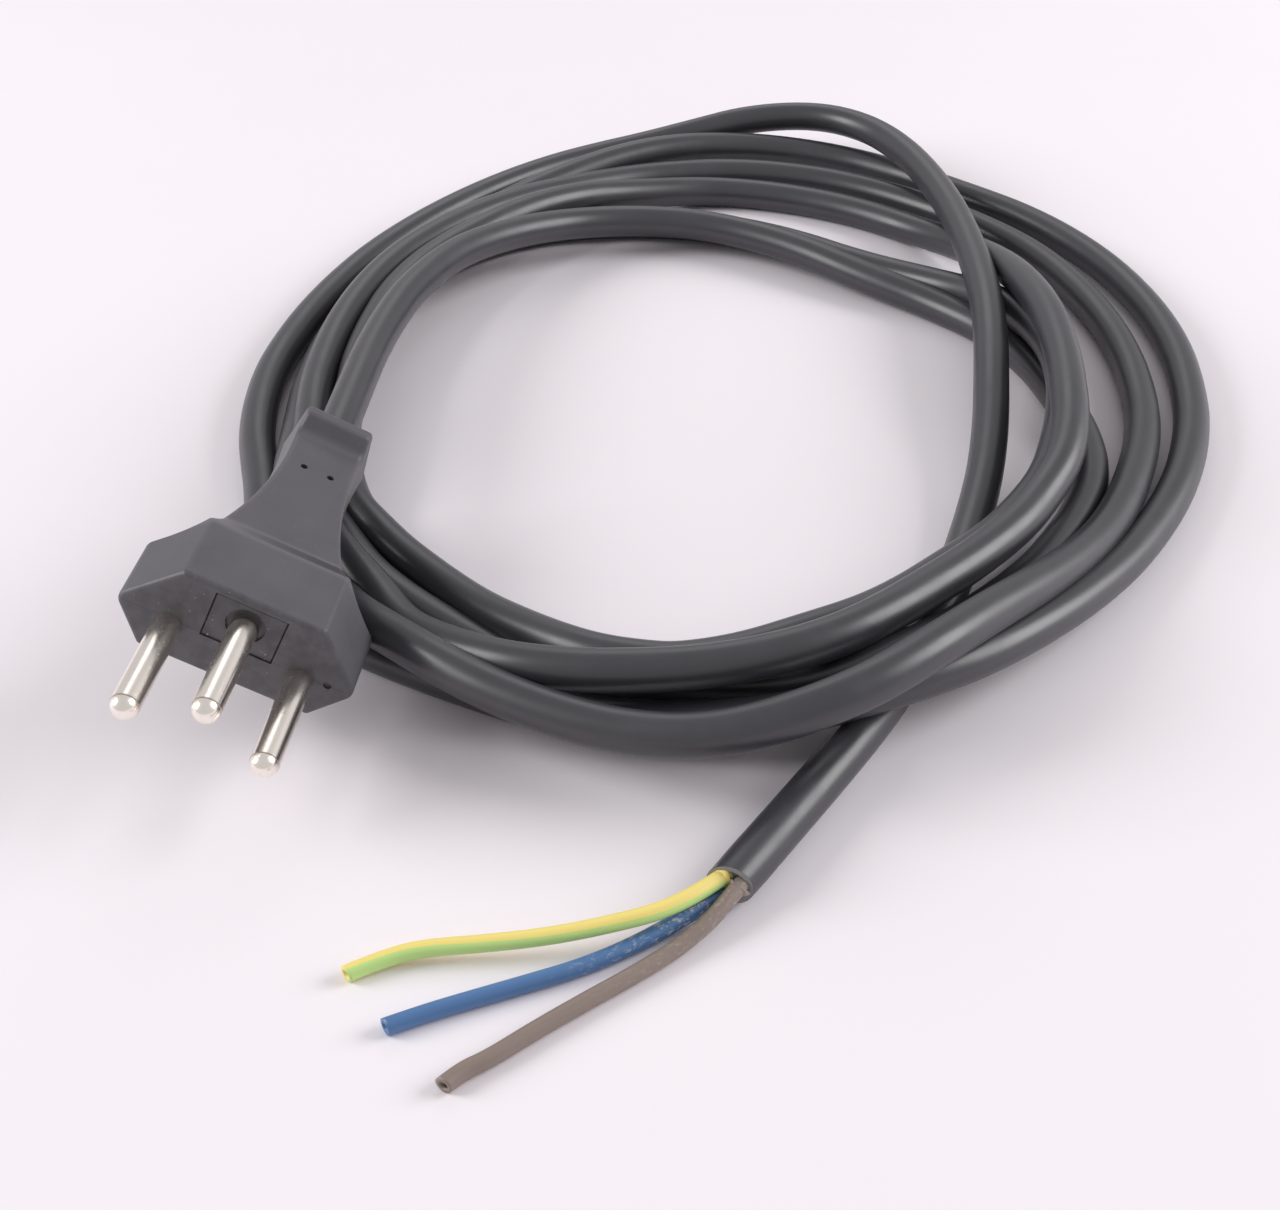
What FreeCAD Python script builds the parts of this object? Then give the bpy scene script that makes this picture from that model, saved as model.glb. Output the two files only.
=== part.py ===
"""Moulded three-pin type J plug on a coiled three-core lead with a cut far end, in millimetres.

Frame: the origin is the root of the earth pin on the mating face. The pins point along -Y, +Z is up, and the
plug lies rolled about its own Y axis, as it came to rest on its coiled lead.
"""
import FreeCAD, Part
import math
import os
from FreeCAD import Vector

# Pins
PIN_DIAMETER = 4.0
PIN_LENGTH = 19.0
PIN_SPACING = 19.0
EARTH_OFFSET = 5.0
TIP_SHOULDER = 0.1
SHANK_DIAMETER = 3.4
SHANK_LENGTH = 5.4
COLLAR_DIAMETER = 5.0
COLLAR_START = 3.0
COLLAR_LENGTH = 1.5
BARREL_DIAMETER = 2.9
BARREL_LENGTH = 3.6
BARREL_BORE_DEPTH = 3.0

# Nose of the housing: a hexagon, measured from the line through the line and neutral pins
NOSE_WIDTH = 35.0
NOSE_DEPTH = 12.3
NOSE_TOP = 9.7
NOSE_BOTTOM = 5.8
NOSE_CORNER_HEIGHT = 1.0
TOP_FLAT_SHARE = 4 / 7
BOTTOM_FLAT_SHARE = 5 / 7
SIDE_EDGE_RADIUS = 2.0

# Neck of the housing: its plan at the parting line, from which its sides lean in, and its step and lip
BODY_LENGTH = 48.0
WAIST_WIDTH = 12.4
WAIST_DEPTH = 39.0
SHOULDER_SHARE = 0.847
SHOULDER_RADIUS = 5.0
SIDE_DRAFT = 9.0
SIDE_OVERRUN = 2.0
STEP_RUN = 3.4
STEP_DROP = 1.5
STEP_EDGE_RADIUS = 1.2
STEP_FOOT_RADIUS = 1.2
PANEL_FALL = 1.2
LIP_LENGTH = 4.4
LIP_RAMP = 2.0
LIP_COVE_RADIUS = 2.2
LIP_EDGE_RADIUS = 1.0
RIM_RADIUS = 0.8
SHARP_ANGLE = 20.0

# Small marks of the moulding
SUPPORT_HOLE_DIAMETER = 1.1
SUPPORT_HOLE_DEPTH = 1.6
SUPPORT_HOLE_SPACING = 4.2
SUPPORT_HOLE_PLACE = 35.4
GATE_PIT_DIAMETER = 1.2
GATE_PIT_DEPTH = 0.4
GATE_PIT_PLACE = 13.3

# Insert that carries the pins
CARRIER_WIDTH = 10.4
CARRIER_TOP_WALL = 1.1
CARRIER_FOOT = 0.55
CARRIER_RECESS = 0.15
CARRIER_CHAMFER = 0.25
BRIDGE_START = 2.2
BRIDGE_DEPTH = 4.6
BRIDGE_WIDTH = 25.0
BRIDGE_HEIGHT = 5.6
EARTH_RING_DIAMETER = 5.6
EARTH_RING_DEPTH = 0.5

# Lead
CABLE_DIAMETER = 6.3
CORE_DIAMETER = 2.25
CONDUCTOR_DIAMETER = 1.1
CORE_CIRCLE_RADIUS = 1.35
SHEATH_GRIP = 16.0
EXIT_RUN = 2.0
ARC_SHARE = 0.45
INNER_CORE_SPREAD = 0.6
INNER_BEND_PLACE = 18.0
INNER_STRAIGHT = 4.0
BARREL_LEAD = 2.0

# Rest on the surface
PLUG_ROLL = 25.8
ROOT_HEIGHT = 20.3

# Coil: its outline in plan, its height, and the room it leaves for the plug that lies on it
COIL_HEIGHT = 20.0
COIL_EDGE_RADIUS = 5.0
COIL_CLEARANCE = 0.3
COIL_OUTER = [
    (-31, 104), (-21, 160), (14, 201), (58, 216), (108, 198), (139, 150), (145, 104), (122, 42), (84, 2),
    (52, -7), (14, 9), (-18, 56),
]
COIL_INNER = [
    (0, 96), (14, 132), (48, 146), (86, 131), (101, 100), (98, 66), (82, 36), (52, 20), (20, 36),
]

# Routes of the lead, chosen by hand: x, y and height of the middle above the surface
LEAD_ROUTE = [(-2.6, 68.0, 16.6), (-4.0, 86.0, 15.2), (-3.0, 103.0, 14.0)]
TAIL_ROUTE = [(92.3, 28.5), (88.0, 14.5), (82.3, 0.5), (75.3, -13.0), (67.0, -25.3)]
EARTH_ROUTE = [
    (59.5, -30.0, 4.0), (52.5, -33.2, 3.7), (45.2, -35.6, 2.9), (37.6, -37.0, 2.0), (30.0, -38.0, 1.4),
    (22.6, -41.0, 1.125),
]
NEUTRAL_ROUTE = [
    (62.6, -29.2, 1.6), (57.0, -33.4, 1.2), (51.4, -37.4, 1.125), (45.2, -41.0, 1.125), (38.8, -44.4, 1.125),
    (32.2, -47.2, 1.125), (25.6, -49.6, 1.125),
]
LINE_ROUTE = [
    (66.2, -30.6, 2.4), (62.6, -35.2, 1.4), (58.2, -39.4, 1.125), (53.2, -43.6, 1.125), (48.6, -47.8, 1.125),
    (43.6, -51.8, 1.125), (37.8, -54.8, 1.125),
]

# Place of each core round the middle of the lead, in degrees from the right-hand side
INNER_CORE_ANGLES = {"earth": 90.0, "line": 210.0, "neutral": 330.0}
FREE_CORE_ANGLES = {"earth": 140.0, "line": 20.0, "neutral": 260.0}

# Worked out from the sizes above, with the earth pin's root as zero
PIN_RADIUS = PIN_DIAMETER / 2
TIP_RADIUS = PIN_RADIUS - TIP_SHOULDER
PIN_WALL = PIN_LENGTH - TIP_RADIUS
TOP_FLAT = NOSE_WIDTH * TOP_FLAT_SHARE
BOTTOM_FLAT = NOSE_WIDTH * BOTTOM_FLAT_SHARE
SHOULDER_PLACE = NOSE_WIDTH / 2 * SHOULDER_SHARE
POWER_LEVEL = -EARTH_OFFSET
TOP_LEVEL = POWER_LEVEL + NOSE_TOP
BOTTOM_LEVEL = POWER_LEVEL - NOSE_BOTTOM
CORNER_LEVEL = POWER_LEVEL + NOSE_CORNER_HEIGHT
AXIS_LEVEL = (TOP_LEVEL + BOTTOM_LEVEL) / 2
CABLE_RADIUS = CABLE_DIAMETER / 2
CORE_RADIUS = CORE_DIAMETER / 2
CONDUCTOR_RADIUS = CONDUCTOR_DIAMETER / 2
SHEATH_END = BODY_LENGTH - SHEATH_GRIP
BARREL_END = SHANK_LENGTH + BARREL_LENGTH
FLOOR = -ROOT_HEIGHT
ORIGIN = Vector(0, 0, 0)
BACK = Vector(0, 1, 0)
UP = Vector(0, 0, 1)
ACROSS = Vector(1, 0, 0)


def rounded_outline(points, radii):
    """Closed wire of straight runs, with a tangent arc at each corner that has a radius."""
    starts = []
    middles = []
    ends = []
    for index, corner in enumerate(points):
        back = (points[index - 1] - corner).normalize()
        on = (points[(index + 1) % len(points)] - corner).normalize()
        half_angle = back.getAngle(on) / 2
        reach = radii[index] / math.tan(half_angle)
        inward = (back + on).normalize()
        starts.append(corner + back * reach)
        ends.append(corner + on * reach)
        middles.append(corner + inward * (radii[index] / math.sin(half_angle) - radii[index]))
    edges = []
    for index, radius in enumerate(radii):
        if radius > 0:
            edges.append(Part.Arc(starts[index], middles[index], ends[index]).toShape())
        following = starts[(index + 1) % len(points)]
        edges.append(Part.LineSegment(ends[index], following).toShape())
    return Part.Wire(edges)


def box_between(low, high):
    """Upright block between two corners."""
    size = high - low
    return Part.makeBox(size.x, size.y, size.z, low)


def cylinder(radius, start, end):
    """Round bar between two points."""
    run = end - start
    return Part.makeCylinder(radius, run.Length, start, run)


def in_place(shape):
    """The plug's own solid, rolled to where the plug came to rest."""
    rolled = shape.copy()
    rolled.rotate(ORIGIN, BACK, PLUG_ROLL)
    return rolled


def point_in_place(point):
    """A point of the plug, rolled as the plug is."""
    return FreeCAD.Rotation(BACK, PLUG_ROLL).multVec(point)


def nose_prism():
    """The nose's hexagon, carried on along the whole housing."""
    half = NOSE_WIDTH / 2
    corners = [
        Vector(-BOTTOM_FLAT / 2, 0, BOTTOM_LEVEL),
        Vector(BOTTOM_FLAT / 2, 0, BOTTOM_LEVEL),
        Vector(half, 0, CORNER_LEVEL),
        Vector(TOP_FLAT / 2, 0, TOP_LEVEL),
        Vector(-TOP_FLAT / 2, 0, TOP_LEVEL),
        Vector(-half, 0, CORNER_LEVEL),
    ]
    radii = [0, 0, SIDE_EDGE_RADIUS] * 2
    return Part.Face(rounded_outline(corners, radii)).extrude(BACK * BODY_LENGTH)


def neck_cutter(side, rise):
    """What is cut away beside the neck above or below the parting line, from which its sides lean in."""
    waist = WAIST_WIDTH / 2
    shoulder_centre = Vector(SHOULDER_PLACE, NOSE_DEPTH + SHOULDER_RADIUS, 0)
    narrowing = SHOULDER_PLACE - waist
    reach_back = WAIST_DEPTH - shoulder_centre.y
    spread = narrowing ** 2 + reach_back ** 2 - SHOULDER_RADIUS ** 2
    side_radius = spread / (2 * (narrowing - SHOULDER_RADIUS))
    side_centre = Vector(waist + side_radius, WAIST_DEPTH, 0)
    towards = (shoulder_centre - side_centre).normalize()
    end_depth = BODY_LENGTH + SIDE_OVERRUN
    end_run = math.sqrt(side_radius ** 2 - (end_depth - WAIST_DEPTH) ** 2)
    shoulder_start = Vector(SHOULDER_PLACE, NOSE_DEPTH, 0)
    shoulder_middle = shoulder_centre + (towards - BACK).normalize() * SHOULDER_RADIUS
    side_start = side_centre + towards * side_radius
    side_middle = Vector(waist, WAIST_DEPTH, 0)
    end = Vector(side_centre.x - end_run, end_depth, 0)
    far_end = Vector(NOSE_WIDTH, end_depth, 0)
    far_start = Vector(NOSE_WIDTH, NOSE_DEPTH, 0)
    outline = [
        Part.Arc(shoulder_start, shoulder_middle, side_start),
        Part.Arc(side_start, side_middle, end),
        Part.LineSegment(end, far_end),
        Part.LineSegment(far_end, far_start),
        Part.LineSegment(far_start, shoulder_start),
    ]
    face = Part.Face(Part.Wire([curve.toShape() for curve in outline]))
    face.translate(UP * CORNER_LEVEL)
    lean = math.tan(math.radians(SIDE_DRAFT))
    cutter = face.extrude(Vector(-lean, 0, rise) * (NOSE_WIDTH / 2))
    return cutter if side > 0 else cutter.mirror(ORIGIN, ACROSS)


def side_outline(level, inward):
    """One long edge of the housing seen from the side: step, sloping panel, cove and grip lip."""
    lip_foot = BODY_LENGTH - LIP_LENGTH
    points = [
        Vector(0, -NOSE_DEPTH, level),
        Vector(0, NOSE_DEPTH, level),
        Vector(0, NOSE_DEPTH + STEP_RUN, level + inward * STEP_DROP),
        Vector(0, lip_foot, level + inward * (STEP_DROP + PANEL_FALL)),
        Vector(0, lip_foot + LIP_RAMP, level),
        Vector(0, BODY_LENGTH, level),
    ]
    radii = [0, STEP_EDGE_RADIUS, STEP_FOOT_RADIUS, LIP_COVE_RADIUS, LIP_EDGE_RADIUS, LIP_EDGE_RADIUS]
    return points, radii


def side_prism():
    """The housing seen from the side, the same above and below for finger and thumb."""
    top_points, top_radii = side_outline(TOP_LEVEL, -1)
    low_points, low_radii = side_outline(BOTTOM_LEVEL, 1)
    outline = rounded_outline(top_points + low_points[::-1], top_radii + low_radii[::-1])
    face = Part.Face(outline)
    face.translate(ACROSS * -NOSE_WIDTH)
    return face.extrude(ACROSS * (2 * NOSE_WIDTH))


def sharp_edges(shape):
    """Edges where two faces of a solid meet at a corner."""
    found = []
    for edge in shape.Edges:
        faces = shape.ancestorsOfType(edge, Part.Face)
        middle = edge.valueAt((edge.FirstParameter + edge.LastParameter) / 2)
        normals = [face.normalAt(*face.Surface.parameter(middle)) for face in faces]
        if len(normals) == 2 and math.degrees(normals[0].getAngle(normals[1])) > SHARP_ANGLE:
            found.append(edge)
    return found


def support_holes():
    """Two blind holes that the mould's core supports leave in the thumb panel."""
    panel_run = BODY_LENGTH - LIP_LENGTH - NOSE_DEPTH - STEP_RUN
    along = (SUPPORT_HOLE_PLACE - NOSE_DEPTH - STEP_RUN) / panel_run
    mouth = TOP_LEVEL - STEP_DROP - PANEL_FALL * along
    holes = []
    for side in (-1, 1):
        foot = Vector(side * SUPPORT_HOLE_SPACING / 2, SUPPORT_HOLE_PLACE, mouth - SUPPORT_HOLE_DEPTH)
        holes.append(cylinder(SUPPORT_HOLE_DIAMETER / 2, foot, foot + UP * (2 * SUPPORT_HOLE_DEPTH)))
    return holes


def gate_pit():
    """The small round pit that the mould's gate leaves in the mating face."""
    centre = Vector(GATE_PIT_PLACE, 0, CORNER_LEVEL)
    return cylinder(GATE_PIT_DIAMETER / 2, centre - BACK * GATE_PIT_DEPTH, centre + BACK * GATE_PIT_DEPTH)


def housing_blank():
    """The outside of the moulded housing, before what is moulded into it is taken out."""
    cutters = [neck_cutter(side, rise) for side in (-1, 1) for rise in (-1, 1)]
    blank = nose_prism().common(side_prism()).cut(cutters).removeSplitter().Solids[0]
    return blank.makeFillet(RIM_RADIUS, sharp_edges(blank)).cut(support_holes() + [gate_pit()])


def turned_pin(root):
    """One turned pin: domed tip, bare wall, shank with a locking collar and a bored barrel."""
    profile = [
        (0, -PIN_WALL),
        (PIN_RADIUS, -PIN_WALL),
        (PIN_RADIUS, 0),
        (SHANK_DIAMETER / 2, 0),
        (SHANK_DIAMETER / 2, COLLAR_START),
        (COLLAR_DIAMETER / 2, COLLAR_START),
        (COLLAR_DIAMETER / 2, COLLAR_START + COLLAR_LENGTH),
        (SHANK_DIAMETER / 2, COLLAR_START + COLLAR_LENGTH),
        (SHANK_DIAMETER / 2, SHANK_LENGTH),
        (BARREL_DIAMETER / 2, SHANK_LENGTH),
        (BARREL_DIAMETER / 2, BARREL_END),
        (CONDUCTOR_RADIUS, BARREL_END),
        (CONDUCTOR_RADIUS, BARREL_END - BARREL_BORE_DEPTH),
        (0, BARREL_END - BARREL_BORE_DEPTH),
    ]
    points = [Vector(radius, depth, 0) for radius, depth in profile]
    wire = Part.makePolygon(points + points[:1])
    turned = Part.Face(wire).revolve(ORIGIN, BACK, 360)
    dome = Part.makeSphere(TIP_RADIUS, Vector(0, -PIN_WALL, 0), BACK, -90, 0, 360)
    pin = turned.fuse(dome).removeSplitter().Solids[0]
    pin.translate(root)
    return pin


def carrier_block(front):
    """The part of the insert that shows in the mating face round the earth pin."""
    half = CARRIER_WIDTH / 2
    foot = POWER_LEVEL + CARRIER_FOOT
    top = TOP_LEVEL - CARRIER_TOP_WALL
    return box_between(Vector(-half, front, foot), Vector(half, BRIDGE_START + BRIDGE_DEPTH, top))


def pin_carrier(pins):
    """The moulded insert: its front block, and a bridge behind the face that holds the power pins."""
    block = carrier_block(CARRIER_RECESS)
    front_edges = [edge for edge in block.Edges if edge.BoundBox.YMax < BRIDGE_START]
    block = block.makeChamfer(CARRIER_CHAMFER, front_edges)
    half = BRIDGE_WIDTH / 2
    low = Vector(-half, BRIDGE_START, POWER_LEVEL - BRIDGE_HEIGHT / 2)
    high = Vector(half, BRIDGE_START + BRIDGE_DEPTH, POWER_LEVEL + BRIDGE_HEIGHT / 2)
    carrier = block.fuse(box_between(low, high)).removeSplitter()
    ring = cylinder(EARTH_RING_DIAMETER / 2, ORIGIN, BACK * (CARRIER_RECESS + EARTH_RING_DEPTH))
    return carrier.cut([ring] + pins).Solids[0]


def route_wire(points, name):
    """Straight runs joined by tangent arcs, each arc as large as its two runs allow."""
    edges = []
    radii = []
    start = points[0]
    for before, corner, after in zip(points, points[1:], points[2:]):
        back = before - corner
        on = after - corner
        reach = ARC_SHARE * min(back.Length, on.Length)
        half_turn = (math.pi - back.getAngle(on)) / 2
        radius = reach / math.tan(half_turn)
        radii.append(radius)
        back.normalize()
        on.normalize()
        arc_start = corner + back * reach
        arc_end = corner + on * reach
        inward = (back + on).normalize()
        arc_middle = corner + inward * (math.hypot(reach, radius) - radius)
        edges.append(Part.LineSegment(start, arc_start).toShape())
        edges.append(Part.Arc(arc_start, arc_middle, arc_end).toShape())
        start = arc_end
    edges.append(Part.LineSegment(start, points[-1]).toShape())
    wire = Part.Wire(edges)
    print(name, "length %.1f" % wire.Length, "radii", " ".join("%.0f" % radius for radius in radii))
    return wire


def tube(wire, radius, name):
    """Round solid along a route, with its volume set against its section times its length."""
    first = wire.OrderedEdges[0]
    start = wire.OrderedVertexes[0].Point
    section = Part.Wire(Part.makeCircle(radius, start, first.tangentAt(first.FirstParameter)))
    solid = wire.makePipeShell([section], True, False).Solids[0]
    expected = math.pi * radius ** 2 * wire.Length
    print(name, "volume %.1f" % solid.Volume, "section times length %.1f" % expected)
    return solid


def above_surface(x, y, height):
    """Point at a height above the surface that the coil lies on."""
    return Vector(x, y, FLOOR + height)


def lead_route():
    """Out of the sheath's grip in the neck, straight through its end and on to the coil."""
    grip = point_in_place(Vector(0, SHEATH_END, AXIS_LEVEL))
    leave = point_in_place(Vector(0, BODY_LENGTH + EXIT_RUN, AXIS_LEVEL))
    return [grip, leave] + [above_surface(*point) for point in LEAD_ROUTE]


def tail_route():
    """From under the coil along the surface to the cut end."""
    return [above_surface(x, y, CABLE_RADIUS) for x, y in TAIL_ROUTE]


def free_core(route, angle, sheath, name):
    """Insulation and conductor of one core past the cut sheath, from its place in the section."""
    tail = tail_route()
    along = (tail[-1] - tail[-2]).normalize()
    aside = UP.cross(along)
    turn = math.radians(angle)
    place = (aside * math.cos(turn) + UP * math.sin(turn)) * CORE_CIRCLE_RADIUS
    start = tail[-1] + place - along * CORE_RADIUS
    wire = route_wire([start] + [above_surface(*point) for point in route], name)
    conductor = tube(wire, CONDUCTOR_RADIUS, name + " conductor")
    insulation = tube(wire, CORE_RADIUS, name).cut([conductor, sheath])
    return insulation.Solids[0], conductor.cut(sheath).Solids[0]


def inner_core(root, angle, name):
    """Insulation and conductor of one core inside the housing, from the sheath's end to its pin's barrel."""
    turn = math.radians(angle)
    place = Vector(math.cos(turn), 0, math.sin(turn)) * CORE_CIRCLE_RADIUS + UP * AXIS_LEVEL
    barrel_end = root + BACK * BARREL_END
    sheath_end = place + BACK * SHEATH_END
    bend = place + (root - place) * INNER_CORE_SPREAD
    bend.y = INNER_BEND_PLACE
    barrel_lead = barrel_end + BACK * BARREL_LEAD
    straight_start = sheath_end - BACK * INNER_STRAIGHT
    points = [barrel_lead, bend, straight_start]
    points = [barrel_end] + points + [sheath_end]
    wire = route_wire(points, name)
    bared = cylinder(CONDUCTOR_RADIUS, barrel_end - BACK * BARREL_BORE_DEPTH, barrel_end)
    inside = tube(wire, CONDUCTOR_RADIUS, name + " conductor")
    insulation = tube(wire, CORE_RADIUS, name).cut(inside).Solids[0]
    return insulation, inside.fuse(bared).removeSplitter().Solids[0]


def closed_outline(points):
    """Smooth closed curve on the surface through points chosen by hand."""
    curve = Part.BSplineCurve()
    curve.interpolate(Points=[above_surface(x, y, 0) for x, y in points], PeriodicFlag=True)
    return Part.Wire(curve.toShape())


def plug_room():
    """The room that the plug takes above the coil it lies on."""
    gap = COIL_CLEARANCE
    half = NOSE_WIDTH / 2 + gap
    neck_half = TOP_FLAT / 2 + gap
    low = BOTTOM_LEVEL - gap
    nose = box_between(
        Vector(-half, -gap, low), Vector(half, NOSE_DEPTH + SHOULDER_RADIUS, TOP_LEVEL + COIL_HEIGHT))
    neck = box_between(
        Vector(-neck_half, 0, low), Vector(neck_half, BODY_LENGTH + gap, TOP_LEVEL + COIL_HEIGHT))
    return in_place(nose.fuse(neck))


def coil(neighbours):
    """The outer shape of all the turns: a loose oval ring, pressed down under the plug."""
    outer = Part.Face(closed_outline(COIL_OUTER)).extrude(UP * COIL_HEIGHT)
    top_edges = [edge for edge in outer.Edges if edge.BoundBox.ZMin > FLOOR + COIL_HEIGHT / 2]
    outer = outer.makeFillet(COIL_EDGE_RADIUS, top_edges)
    inner = Part.Face(closed_outline(COIL_INNER)).extrude(UP * COIL_HEIGHT)
    ring = outer.cut(inner).cut([plug_room()] + neighbours)
    return max(ring.Solids, key=lambda solid: solid.Volume)


def build():
    """All pieces by name."""
    roots = {
        "line": Vector(-PIN_SPACING / 2, 0, POWER_LEVEL),
        "neutral": Vector(PIN_SPACING / 2, 0, POWER_LEVEL),
        "earth": Vector(0, 0, 0),
    }
    free_routes = {"line": LINE_ROUTE, "neutral": NEUTRAL_ROUTE, "earth": EARTH_ROUTE}
    parts = {}
    pins = {name: turned_pin(root) for name, root in roots.items()}
    carrier = pin_carrier(list(pins.values()))
    moulded_in = [carrier_block(0), carrier] + list(pins.values())
    parts["pin_carrier"] = in_place(carrier)
    for name, root in roots.items():
        insulation, conductor = inner_core(root, INNER_CORE_ANGLES[name], "inner " + name)
        moulded_in += [insulation, conductor]
        parts[name + "_pin"] = in_place(pins[name])
        parts["inner_" + name + "_core"] = in_place(insulation)
        parts["inner_" + name + "_conductor"] = in_place(conductor)
    parts["cable_lead"] = tube(route_wire(lead_route(), "lead"), CABLE_RADIUS, "lead")
    parts["cable_tail"] = tube(route_wire(tail_route(), "tail"), CABLE_RADIUS, "tail")
    parts["cable_coil"] = coil([parts["cable_lead"], parts["cable_tail"]])
    housing = in_place(housing_blank().cut(moulded_in)).cut(parts["cable_lead"])
    parts["plug_body"] = housing.Solids[0]
    for name, route in free_routes.items():
        insulation, conductor = free_core(route, FREE_CORE_ANGLES[name], parts["cable_tail"], name + " core")
        parts[name + "_core"] = insulation
        parts[name + "_conductor"] = conductor
    return parts


os.makedirs("parts", exist_ok=True)
for node, solid in build().items():
    print(node, "valid" if solid.isValid() else "NOT VALID", "volume %.1f" % solid.Volume)
    solid.exportStep("parts/" + node + ".step")
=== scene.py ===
"""A moulded three-pin mains plug on its loosely coiled lead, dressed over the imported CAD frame."""
import math

import bpy
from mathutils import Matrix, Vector


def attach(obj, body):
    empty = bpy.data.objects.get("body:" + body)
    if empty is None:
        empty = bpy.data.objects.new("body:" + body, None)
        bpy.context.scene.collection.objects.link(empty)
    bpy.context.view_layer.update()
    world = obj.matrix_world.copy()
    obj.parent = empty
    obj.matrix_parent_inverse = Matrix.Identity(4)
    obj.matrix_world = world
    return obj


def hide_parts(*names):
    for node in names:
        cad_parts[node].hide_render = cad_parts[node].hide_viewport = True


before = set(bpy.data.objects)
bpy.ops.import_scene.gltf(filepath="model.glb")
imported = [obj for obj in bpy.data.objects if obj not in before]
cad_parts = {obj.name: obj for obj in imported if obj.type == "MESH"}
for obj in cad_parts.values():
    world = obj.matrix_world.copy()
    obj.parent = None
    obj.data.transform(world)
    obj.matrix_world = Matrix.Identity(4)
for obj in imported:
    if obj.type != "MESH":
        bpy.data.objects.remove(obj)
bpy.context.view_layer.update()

bl_info = {
    "name": "Mains plug on a coiled lead",
    "version": (1, 0, 0),
    "blender": (4, 5, 0),
    "location": "View3D > Sidebar > Plug",
    "description": "Dresses a moulded mains plug, its coiled lead and the three bare cores at its cut end",
    "category": "Object",
}

MM = 0.001
BODY = "root"

# Places shared with the CAD
FLOOR_HEIGHT = -20.3 * MM
PLUG_ROLL = math.radians(25.8)
STEP_START = 12.3 * MM
STEP_RUN = 3.4 * MM
PIN_LENGTH = 19.0 * MM
PIN_WALL = 17.1 * MM

# Colours of dust and chalk on the plastic, of the sheath where it's cut, and of the world's light
DUST = (0.62, 0.61, 0.62)
CUT_FACE = (0.24, 0.24, 0.245)
WORLD_COLOUR = (1.0, 0.98, 1.0, 1.0)

# Lines and bands in the finishes of the housing and the pins
PARTING_HEIGHT = -4.0 * MM
PARTING_HALF_WIDTH = 0.07 * MM
# Width across the neck over which the step's painted shade turns from pale to dark
STRIP_WIDTH = 24.0 * MM
FRONT_DEPTH = 0.6 * MM
RIM_HALF_WIDTH = 0.13 * MM

# Depth of the fine relief in each finish
HOUSING_RELIEF = 0.03 * MM
PIN_RELIEF = 0.0015 * MM
SHEATH_RELIEF = 0.05 * MM
CORE_RELIEF = 0.03 * MM
COPPER_RELIEF = 0.02 * MM

# Noise in each finish, as waves to the metre
HOUSING_GRAIN = 5200.0
HOUSING_CLOUD = 120.0
HOUSING_SMEAR = 420.0
DUST_SPECKS = 1700.0
PIN_DRAWING = 3600.0
PIN_SPOTS = 900.0
SHEATH_GRAIN = 3400.0
SHEATH_WAVE = 170.0
SHEATH_MARKS = 60.0
EARTH_GRAIN = 2400.0
COPPER_SPOTS = 4200.0
SURFACE_CLOUD = 9.0

# How far the noise is drawn out along the plug for smears and along the pins for wear
SMEAR_STRETCH = (1.0, 0.25, 1.0)
PIN_STRETCH = (1.0, 0.035, 1.0)

# Noise on the cores, as waves along and round a whole core
CORE_DRAG = (3.0, 90.0, 1.0)
CORE_STREAKS = (46.0, 11.0, 1.0)

# The earth core's stripe, as shares of the way round: its width, where it starts and how far it twists
STRIPE_WIDTH = 0.35
STRIPE_START = 0.315
STRIPE_TWIST = 0.15
STRIPE_WAVER = 0.012

# The camera at the photograph's viewing angle
PHOTO_WIDTH = 1280
CAMERA_PLACE = (72.16 * MM, -177.68 * MM, 142.54 * MM)
CAMERA_TURN = (math.radians(53.0), 0.0, math.radians(6.04))
FOCAL_PIXELS = 1734.4
SENSOR_WIDTH = 36.0
NEAREST_SEEN = 10.0 * MM

# Strength of the world as light, and as the backdrop that the camera and bright metal see
WORLD_LEVEL = 0.43
BACKDROP_LEVEL = 0.62

# The soft lamps: name, place, point that it faces, width in metres and power in watts
SOFTBOXES = (
    ("softbox_left", (-1.0, -0.1, 0.55), (0.03, 0.08, 0.0), 0.7, 9.0),
    ("softbox_right", (1.05, 0.3, 0.55), (0.06, 0.08, 0.0), 0.8, 9.0),
    ("softbox_back", (-0.1, 1.1, 0.8), (0.06, 0.08, 0.0), 0.6, 1.0),
)
SURFACE_WIDTH = 6.0

# Fineness of the curves and tubes
LEAD_STEPS = 6
CORE_STEPS = 12
LEAD_SIDES = 24
CORE_SIDES = 20
STRAND_OUTLINE_POINTS = 36
TUBE_SMOOTHING = math.radians(40.0)
STRAND_SMOOTHING = math.radians(50.0)

# Shares of a tube's diameter: points that are welded, the reach to its rim and the reach over its cut face
WELD_SHARE = 0.001
RIM_REACH = 0.52
CUT_FACE_REACH = 0.49

# A quadratic spline runs inside its control points; this share of the bend puts it back on them
OUTWARD_SHARE = 0.28

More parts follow.
